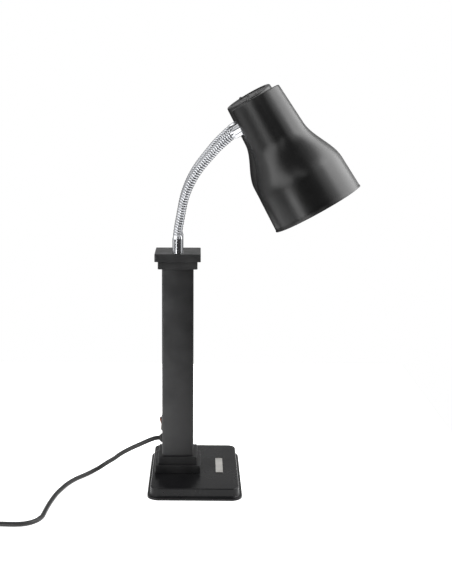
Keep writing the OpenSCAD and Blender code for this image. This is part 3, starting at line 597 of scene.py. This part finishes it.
# Plug and cord tie
# A moulded plug with a grooved strain relief and brass pins, and a black hook
# and loop strap that holds the coil.
plug_black = finish_material("plug_black", (0.012, 0.012, 0.012), (0.022, 0.022, 0.022), (0.45, 0.6),
                             grain=0.0005, patch=0.01, bump=0.3, depth=0.00006)
pin_brass = finish_material("pin_brass", (0.62, 0.58, 0.46), (0.74, 0.70, 0.58), (0.14, 0.26),
                            grain=0.0006, patch=0.004, bump=0.06, depth=0.00003, metallic=1.0)
strap_weave = finish_material("strap_weave", (0.012, 0.012, 0.012), (0.03, 0.03, 0.03), (0.8, 0.95),
                              grain=0.0009, patch=0.003, bump=0.8, depth=0.0003, specular=0.2)
plug = dress(smooth_copy("plug", "plug_body", edge=0.0008, segments=3), plug_black, "root",
             ["plug"])
pins = dress(smooth_copy("plug_pins", "plug_blades", edge=0.0003), pin_brass, "root",
             ["plug_pins"])
tie = dress(smooth_copy("cord_tie", "coil_strap", edge=0.0002), strap_weave, "root",
            ["cord_tie"])

# Necks
# Two chromed goosenecks. Each is one ribbed tube, made as a single rib that is
# repeated and laid along the neck's line, in one length for each hinge. The
# bends, the lean and the rolls, in degrees, put the shades where they are shown.
cap_top = cap_low + 2 * plate_t
neck_y = 0.025
neck_r = 0.007
span = 0.0268
foot_h = 0.0291
foot_top = cap_top + foot_h
hinge_in = 0.0014
cad_ribs = 9
pivot_z = foot_top + span / cad_ribs + hinge_in
ferrule_r = 0.00825
head_ferrule = 0.016
hinge_kinds = ["bend", "lean", "bend", "bend", "bend", "lean", "bend", "bend"]
hinge_shares = [1.10, 1.00, 1.06, 1.02, 0.98, 1.00, 0.94, 0.90]
sides = {"right": -1, "left": 1}
bends = {"right": 9.4, "left": 9.2}
rolls = {"right": 16.1, "left": 16.8}
lean = 11.4
hinge_count = len(hinge_kinds)
neck_facets = 40


def neck_frames(side):
    """The neck's frame past each of its hinges, from the foot up."""
    here = Matrix.Translation((column_x, sides[side] * neck_y, pivot_z))
    out = []
    for k, (kind, share) in enumerate(zip(hinge_kinds, hinge_shares)):
        if k:
            here = here @ Matrix.Translation((0, 0, span))
        if kind == "bend":
            here = here @ Matrix.Rotation(math.radians(bends[side] * share), 4, "Y")
        else:
            here = here @ Matrix.Rotation(math.radians(-sides[side] * lean * share), 4, "X")
        out.append(here.copy())
    return out


def turned(name, outline, steps=96, closed=False):
    """Piece turned about its Z axis from an outline of (radius, height) points."""
    bpy.ops.object.select_all(action="DESELECT")
    bpy.ops.mesh.primitive_plane_add(size=0.01)
    piece = bpy.context.object
    piece.name = name
    bpy.ops.object.mode_set(mode="EDIT")
    bpy.ops.mesh.select_all(action="SELECT")
    bpy.ops.mesh.merge(type="CENTER")
    bpy.ops.mesh.select_mode(type="VERT")
    bpy.ops.mesh.select_all(action="SELECT")
    bpy.ops.transform.translate(value=(outline[0][0], 0, outline[0][1]))
    points = list(outline) + ([outline[0]] if closed else [])
    for (r0, z0), (r1, z1) in zip(points, points[1:]):
        bpy.ops.mesh.extrude_vertices_move(TRANSFORM_OT_translate={"value": (r1 - r0, 0, z1 - z0)})
    bpy.ops.mesh.select_all(action="SELECT")
    bpy.ops.mesh.remove_doubles(threshold=1e-7)
    bpy.ops.mesh.spin(steps=steps, angle=2 * math.pi, center=(0, 0, 0), axis=(0, 0, 1))
    bpy.ops.mesh.select_all(action="SELECT")
    bpy.ops.mesh.remove_doubles(threshold=weld_gap)
    bpy.ops.mesh.normals_make_consistent(inside=False)
    bpy.ops.object.mode_set(mode="OBJECT")
    return piece


chrome = finish_material("chrome", (0.54, 0.55, 0.57), (0.65, 0.66, 0.68), (0.17, 0.24),
                         grain=0.002, patch=0.02, bump=0.03, depth=0.00004, metallic=1.0)
neck_chrome = finish_material("neck_chrome", (0.45, 0.46, 0.48), (0.55, 0.56, 0.58), (0.24, 0.32),
                              grain=0.002, patch=0.02, bump=0.03, depth=0.00004, metallic=1.0)
# Painted shade: the neck's chrome colour is mixed toward dark grey in the grooves between the ribs, where
# pointiness is low.
crease_from = 0.40
crease_to = 0.50
crease_least = 0.30
crease_shade_grey = 0.14
neck_tree = neck_chrome.node_tree
shadowed = neck_tree.nodes.new("ShaderNodeNewGeometry")
crease_shade_mask = neck_tree.nodes.new("ShaderNodeMapRange")
crease_shade_mask.inputs["From Min"].default_value = crease_from
crease_shade_mask.inputs["From Max"].default_value = crease_to
crease_shade_mask.inputs["To Min"].default_value = crease_least
painted_crease_shade = neck_tree.nodes.new("ShaderNodeMix")
painted_crease_shade.data_type = "RGBA"
painted_crease_shade.inputs["A"].default_value = (crease_shade_grey, crease_shade_grey, crease_shade_grey, 1)
bare_chrome = neck_tree.nodes["Principled BSDF"].inputs["Base Color"]
neck_tree.links.new(shadowed.outputs["Pointiness"], crease_shade_mask.inputs["Value"])
neck_tree.links.new(crease_shade_mask.outputs["Result"], painted_crease_shade.inputs["Factor"])
neck_tree.links.new(bare_chrome.links[0].from_socket, painted_crease_shade.inputs["B"])
neck_tree.links.new(painted_crease_shade.outputs["Result"], bare_chrome)
rib_pitch = 0.00415
rib_dip = 0.0007
rib_curve = ((0, 1), (0.08, 0.6), (0.2, 0.25), (0.35, 0.05), (0.5, 0),
             (0.65, 0.05), (0.8, 0.25), (0.92, 0.6), (1, 1))
for side in sides:
    frames = neck_frames(side)
    stations = [Matrix.Translation((column_x, sides[side] * neck_y, foot_top))]
    stations += [place @ Matrix.Translation((0, 0, span / 2)) for place in frames[:-1]]
    stations.append(frames[-1] @ Matrix.Translation((0, 0, -hinge_in)))
    line = bpy.data.curves.new(side + "_neck_line", "CURVE")
    line.dimensions = "3D"
    line.resolution_u = 32
    line.twist_mode = "MINIMUM"
    bezier = line.splines.new("BEZIER")
    bezier.bezier_points.add(len(stations) - 1)
    for i, (point, station) in enumerate(zip(bezier.bezier_points, stations)):
        place = station.translation
        ahead = (station.to_3x3() @ Vector((0, 0, 1))).normalized()
        before = (place - stations[max(i - 1, 0)].translation).length
        after = (stations[min(i + 1, len(stations) - 1)].translation - place).length
        point.handle_left_type = "FREE"
        point.handle_right_type = "FREE"
        point.co = place
        point.handle_left = place - ahead * before / 3
        point.handle_right = place + ahead * after / 3
    guide = bpy.data.objects.new(side + "_neck_line", line)
    scene.collection.objects.link(guide)
    bpy.context.view_layer.update()
    total = bezier.calc_length()
    ribs = round(total / rib_pitch)
    rib_h = total / ribs
    lengths = [0.0]
    for a, b in zip(stations, stations[1:]):
        lengths.append(lengths[-1] + (b.translation - a.translation).length)
    cuts = [round(s / lengths[-1] * ribs) for s in lengths]
    for k in range(hinge_count):
        rib_outline = [(neck_r - dip * rib_dip, cuts[k] * rib_h + t * rib_h) for t, dip in rib_curve]
        skin = turned(f"{side}_neck_skin_{k + 1}", rib_outline, steps=neck_facets)
        rows = skin.modifiers.new("ribs", "ARRAY")
        rows.use_relative_offset = False
        rows.use_constant_offset = True
        rows.constant_offset_displace = (0, 0, rib_h)
        rows.count = cuts[k + 1] - cuts[k]
        rows.use_merge_vertices = True
        rows.merge_threshold = weld_gap
        bpy.ops.object.modifier_apply(modifier=rows.name)
        bpy.ops.object.mode_set(mode="EDIT")
        bpy.ops.mesh.select_mode(type="EDGE")
        bpy.ops.mesh.select_all(action="DESELECT")
        bpy.ops.mesh.select_non_manifold()
        bpy.ops.mesh.edge_face_add()
        bpy.ops.object.mode_set(mode="OBJECT")
        along = skin.modifiers.new("along the neck", "CURVE")
        along.object = guide
        along.deform_axis = "POS_Z"
        bpy.ops.object.modifier_apply(modifier=along.name)
        covered = [f"{side}_neck_{k}"] if k else []
        dress(skin, neck_chrome, None, covered, angle=50, flats=False)
        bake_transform(skin)
    bpy.data.objects.remove(guide)
    dress(smooth_copy(f"{side}_neck_foot", f"{side}_foot_ferrule"), chrome, "root",
          [f"{side}_neck_foot"], angle=40)
    dress(smooth_copy(f"{side}_head_ferrule", f"{side}_shade_ferrule"), chrome, f"{side}_head",
          [f"{side}_head_ferrule"], angle=40)

# Shades
# Spun aluminium bells, sprayed satin black inside and out: a nearly straight
# crown, a waist, a flare and a straight skirt with a small bead at the mouth.
shade_len = 0.191
shade_t = 0.0013
shade_top_r = 0.0403
waist_r = 0.0445
flare_r = 0.0689
mouth_r = 0.071
waist_at = 0.068
flare_at = 0.140
entry_at = 0.031
shade_lip_r = 0.0324
crown_slope = (waist_r - shade_top_r) / waist_at
skirt_slope = (mouth_r - flare_r) / (shade_len - flare_at)


def shade_radius(s):
    """Outer radius of the shade at a distance s from its top."""
    if s < waist_at:
        return shade_top_r + crown_slope * s
    if s > flare_at:
        return flare_r + skirt_slope * (s - flare_at)
    run = flare_at - waist_at
    t = (s - waist_at) / run
    return ((2 * t ** 3 - 3 * t ** 2 + 1) * waist_r + (t ** 3 - 2 * t ** 2 + t) * crown_slope * run
            + (3 * t ** 2 - 2 * t ** 3) * flare_r + (t ** 3 - t ** 2) * skirt_slope * run)


def head_place(side):
    """Matrix from a head's own axes, +Z towards the mouth and +X towards the neck, to its place."""
    wall = shade_radius(entry_at + ferrule_r)
    rolled = neck_frames(side)[-1] @ Matrix.Rotation(math.radians(sides[side] * rolls[side]), 4, "Z")
    return (rolled @ Matrix.Translation((-entry_at, 0, head_ferrule + wall))
            @ Matrix.Rotation(math.radians(90), 4, "Y"))


shade_paint = finish_material("shade_paint", (0.002, 0.002, 0.0021), (0.003, 0.003, 0.0031), (0.30, 0.36),
                              grain=0.0006, patch=0.05, bump=0.10, depth=0.00005)
round_r = 0.0024
bead_at = shade_len - 0.0025
bead_curve = ((0.0004, 0.0016), (0.0006, 0.0008), (0.0004, 0.0001), (-0.0001, 0))
mouth_in = 0.0003
rim_round = 0.0003
rim_round_under = 0.0002
flare_steps = 24
crown_stations = [0.012, 0.024, 0.036, 0.05]
flare_stations = [waist_at + (flare_at - waist_at) * i / flare_steps for i in range(flare_steps + 1)]
skirt_stations = [0.16, 0.172, 0.184]
inner_crown_stations = [shade_t, 0.012, 0.03, 0.05]
inner_skirt_stations = [0.17, shade_len - mouth_in]
outside = [(shade_radius(round_r) - round_r + round_r * math.sin(math.radians(a)),
            round_r - round_r * math.cos(math.radians(a))) for a in range(0, 91, 15)]
outside += [(shade_radius(s), s) for s in crown_stations + flare_stations + skirt_stations + [bead_at]]
outside += [(mouth_r + out, shade_len - up) for out, up in bead_curve]
inside = [(shade_radius(s) - shade_t, s)
          for s in inner_crown_stations + flare_stations + inner_skirt_stations]
shade_outline = [(shade_lip_r, rim_round), (shade_lip_r + rim_round, 0)] + outside + inside[::-1]
shade_outline += [(shade_lip_r + rim_round_under, shade_t), (shade_lip_r, shade_t - rim_round_under)]
for side in sides:
    bell = turned(side + "_shade_bell", shade_outline, steps=128, closed=True)
    bell.matrix_world = head_place(side)
    dress(bell, shade_paint, side + "_head", [side + "_shade"], angle=40, flats=False)

# Vent plates
# Black steel discs under the open crown, with radial slots that let the heat
# out. Two screws and the middle bolt hold the lampholder's strap under them.
vent_paint = finish_material("vent_paint", (0.035, 0.035, 0.035), (0.055, 0.055, 0.055), (0.3, 0.42),
                             grain=0.0005, patch=0.015, bump=0.12, depth=0.00005)
for side in sides:
    paint(vent_paint, side + "_vent_plate")
    paint(vent_paint, side + "_head_screws")
    paint(zinc, side + "_holder_strap", side + "_ferrule_nut")

# Lampholders
# Glazed porcelain holders bolted under the straps.
porcelain = finish_material("porcelain", (0.70, 0.68, 0.62), (0.76, 0.74, 0.68), (0.08, 0.16),
                            grain=0.003, patch=0.02, bump=0.05, depth=0.00006, coat=0.6, coat_rough=0.05)
for side in sides:
    dress(smooth_copy(side + "_lampholder", side + "_porcelain_holder", edge=0.0004), porcelain,
          side + "_head", [side + "_lampholder"])

# Bulbs
# Reflector heat bulbs: a blown glass bell, silvered inside its cone, with a
# frosted face and a plain metal screw base.
bulb_r = 0.0635
bulb_len = 0.165
bulb_base_h = 0.026
bulb_front_h = 0.027
bulb_low = 0.0105
glass_low = bulb_low + bulb_base_h
bulb_face = bulb_low + bulb_len
bulb_wide = bulb_face - bulb_front_h
bulb_neck = 0.0135
bell_steps = 22
shoulder = 0.015
shoulder_turn = 75
shoulder_steps = 8
face_steps = 8
silver_over = 0.004
base_metal = finish_material("bulb_base_metal", (0.55, 0.55, 0.53), (0.66, 0.66, 0.64), (0.2, 0.34),
                             grain=0.0006, patch=0.006, bump=0.1, depth=0.00004, metallic=1.0)
silvering = finish_material("bulb_silvering", (0.62, 0.62, 0.61), (0.72, 0.72, 0.71), (0.16, 0.24),
                            grain=0.003, patch=0.03, bump=0.04, depth=0.0001, metallic=1.0, coat=1.0,
                            coat_rough=0.02)
frosting = finish_material("bulb_frosting", (0.66, 0.64, 0.60), (0.72, 0.70, 0.66), (0.3, 0.36),
                           grain=0.0009, patch=0.02, bump=0.15, depth=0.00008, coat=0.3, coat_rough=0.2)


def bell_share(t):
    """How far the bell has widened at a share of its height, from 0 to 1."""
    return 0.30 * t + 1.90 * t ** 2 - 1.20 * t ** 3


bulb_outline = []
for i in range(bell_steps + 1):
    t = i / bell_steps
    bulb_outline.append((bulb_neck + (bulb_r - bulb_neck) * bell_share(t),
                         glass_low + (bulb_wide - glass_low) * t))
for i in range(1, shoulder_steps + 1):
    a = math.radians(shoulder_turn * i / shoulder_steps)
    bulb_outline.append((bulb_r - shoulder + shoulder * math.cos(a), bulb_wide + shoulder * math.sin(a)))
edge_r, edge_z = bulb_outline[-1]
for i in range(1, face_steps + 1):
    u = 1 - i / face_steps
    bulb_outline.append((edge_r * u, bulb_face - (bulb_face - edge_z) * u ** 2))
for side in sides:
    bulb = turned(side + "_reflector_bulb", [(0.0, glass_low)] + bulb_outline)
    bulb.data.materials.append(silvering)
    bulb.data.materials.append(frosting)
    for face in bulb.data.polygons:
        face.material_index = 1 if face.center.z > bulb_wide + silver_over else 0
    bulb.matrix_world = head_place(side)
    dress(bulb, None, side + "_head", [side + "_bulb_glass"], angle=60, flats=False)
    paint(base_metal, side + "_bulb_base")

# Name plate
# A thin bare nickel plate on the base in front of the plinth, with a low rim.
badge_x = 0.0393
badge_w = 0.0113
badge_d = 0.063
badge_t = 0.0010
badge_corner = 0.0010
badge_rim = 0.0009
badge_sink = 0.00025
badge_round = 0.00012
badge_metal = finish_material("badge_nickel", (0.76, 0.745, 0.71), (0.85, 0.835, 0.80), (0.32, 0.40),
                              grain=0.0015, patch=0.02, bump=0.03, depth=0.00003, metallic=1.0)
bpy.ops.mesh.primitive_cube_add(size=1, location=(badge_x, 0, base_h + badge_t / 2))
badge = bpy.context.object
badge.name = "name_plate"
badge.scale = (badge_w, badge_d, badge_t)
bpy.ops.object.transform_apply(location=True, rotation=True, scale=True)
bpy.ops.object.mode_set(mode="EDIT")
pick(badge, "edges", lambda e: abs(e.verts[0].co.z - e.verts[1].co.z) > badge_t / 2)
bpy.ops.mesh.bevel(offset=badge_corner, segments=4, affect="EDGES")
pick(badge, "faces", lambda f: at_height(f, base_h + badge_t))
bpy.ops.mesh.inset(thickness=badge_rim)
bpy.ops.mesh.extrude_region_move(TRANSFORM_OT_translate={"value": (0, 0, -badge_sink)})
pick(badge, "edges", lambda e: at_height(e, base_h + badge_t))
bpy.ops.mesh.bevel(offset=badge_round, segments=2, affect="EDGES")
bpy.ops.object.mode_set(mode="OBJECT")
dress(badge, badge_metal, "root")

low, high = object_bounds()
